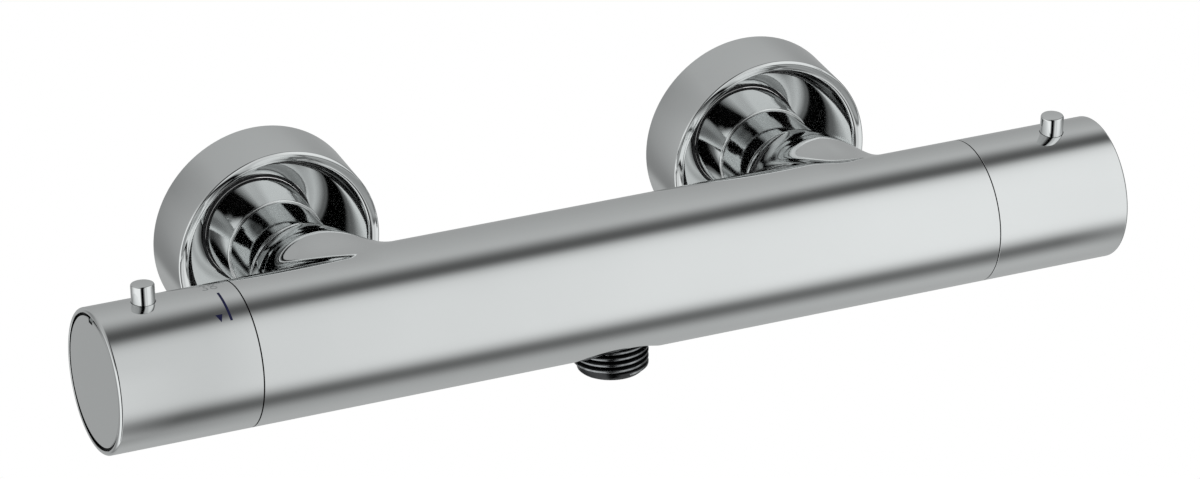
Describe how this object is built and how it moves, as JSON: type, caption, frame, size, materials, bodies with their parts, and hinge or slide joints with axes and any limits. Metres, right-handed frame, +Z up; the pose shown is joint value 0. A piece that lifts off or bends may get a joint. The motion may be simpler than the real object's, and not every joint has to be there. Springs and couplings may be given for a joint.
{
  "type": "thermostatic shower valve",
  "caption": "Exposed chrome bar valve for a shower: temperature handle on the left, flow handle on the right, offset wall unions with bowl-shaped rosettes and a threaded outlet underneath.",
  "frame": {"origin": "on the wall face, midway between the axes of the two wall threads", "axes": "X along the bar with the temperature handle at -X, +Y into the wall, +Z up"},
  "size_m": [0.3, 0.1099, 0.0612],
  "materials": {
    "polished_chrome": "mirror polished plating on brass",
    "plated_union": "plain plating",
    "brass": "turned",
    "steel": "bright wire and turned steel",
    "moulded_plastic": "moulded",
    "ceramic": "lapped ceramic",
    "rubber": "matt"
  },
  "bodies": {
    "valve": {"valve_body": "polished_chrome", "outlet_nipple": "polished_chrome", "outlet_oring": "rubber", "hot_collar": "polished_chrome", "cold_collar": "polished_chrome", "hot_tailpiece": "brass", "cold_tailpiece": "brass", "hot_union_nut": "polished_chrome", "cold_union_nut": "polished_chrome", "hot_filter_washer": "rubber", "cold_filter_washer": "rubber", "hot_wall_union": "plated_union", "cold_wall_union": "plated_union", "hot_check_housing": "moulded_plastic", "cold_check_housing": "moulded_plastic", "hot_check_spring": "steel", "cold_check_spring": "steel", "cartridge_housing": "brass", "cartridge_orings": "rubber", "cartridge_nut": "brass", "cartridge_seat_ring": "brass", "return_spring": "steel", "temperature_stop_ring": "moulded_plastic", "headwork_body": "brass", "headwork_oring": "rubber", "headwork_seal": "rubber", "fixed_disc": "ceramic", "flow_stop_ring": "moulded_plastic"},
    "temperature_control": {"temperature_handle": "polished_chrome", "temperature_cap": "polished_chrome", "temperature_screw": "steel", "temperature_adapter": "moulded_plastic", "cartridge_spindle": "brass", "temperature_button_spring": "steel"},
    "temperature_stop_button": {"temperature_button": "polished_chrome", "temperature_catch": "steel"},
    "regulator": {"regulating_nut": "brass", "overtravel_spring": "steel", "overtravel_plunger": "steel", "plunger_clip": "steel", "wax_element": "brass", "shuttle": "brass"},
    "flow_control": {"flow_handle": "polished_chrome", "flow_cap": "polished_chrome", "flow_screw": "steel", "flow_adapter": "moulded_plastic", "flow_spindle": "brass", "moving_disc": "ceramic", "flow_button_spring": "steel"},
    "flow_stop_button": {"flow_button": "polished_chrome", "flow_catch": "steel"},
    "hot_poppet": {"hot_check_poppet": "moulded_plastic"},
    "cold_poppet": {"cold_check_poppet": "moulded_plastic"},
    "hot_cover": {"hot_rosette": "polished_chrome", "hot_rosette_ring": "rubber"},
    "cold_cover": {"cold_rosette": "polished_chrome", "cold_rosette_ring": "rubber"}
  },
  "joints": [
    {"name": "temperature_turn", "type": "hinge", "parent": "valve", "child": "temperature_control", "pos_m": [-0.13, -0.0726, 0.006], "axis": [1, 0, 0], "range_deg": [-75, 150]},
    {"name": "flow_turn", "type": "hinge", "parent": "valve", "child": "flow_control", "pos_m": [0.13, -0.0726, 0.006], "axis": [1, 0, 0], "range_deg": [0, 90]},
    {"name": "temperature_button_press", "type": "slide", "parent": "temperature_control", "child": "temperature_stop_button", "axis": [0, -0.0785, -0.9969], "range_m": [0, 0.0022], "stiffness_N_per_m": 400, "springref_m": -0.003, "deforming": ["temperature_button_spring"]},
    {"name": "flow_button_press", "type": "slide", "parent": "flow_control", "child": "flow_stop_button", "axis": [0, 0.061, -0.9981], "range_m": [0, 0.0022], "stiffness_N_per_m": 400, "springref_m": -0.003, "deforming": ["flow_button_spring"]},
    {"name": "regulator_shift", "type": "slide", "parent": "valve", "child": "regulator", "axis": [1, 0, 0], "range_m": [-0.00085, 0.00043], "deforming": ["return_spring"]},
    {"name": "hot_check_lift", "type": "slide", "parent": "valve", "child": "hot_poppet", "axis": [0, -1, 0], "range_m": [0, 0.003], "stiffness_N_per_m": 60, "springref_m": -0.002, "deforming": ["hot_check_spring"]},
    {"name": "cold_check_lift", "type": "slide", "parent": "valve", "child": "cold_poppet", "axis": [0, -1, 0], "range_m": [0, 0.003], "stiffness_N_per_m": 60, "springref_m": -0.002, "deforming": ["cold_check_spring"]},
    {"name": "hot_rosette_slide", "type": "slide", "parent": "valve", "child": "hot_cover", "axis": [0, -1, 0], "range_m": [0, 0.02]},
    {"name": "cold_rosette_slide", "type": "slide", "parent": "valve", "child": "cold_cover", "axis": [0, -1, 0], "range_m": [0, 0.02]}
  ],
  "couplings": [
    {"joint": "regulator_shift", "follows": "temperature_turn", "m_per_rad": -0.00031831}
  ]
}
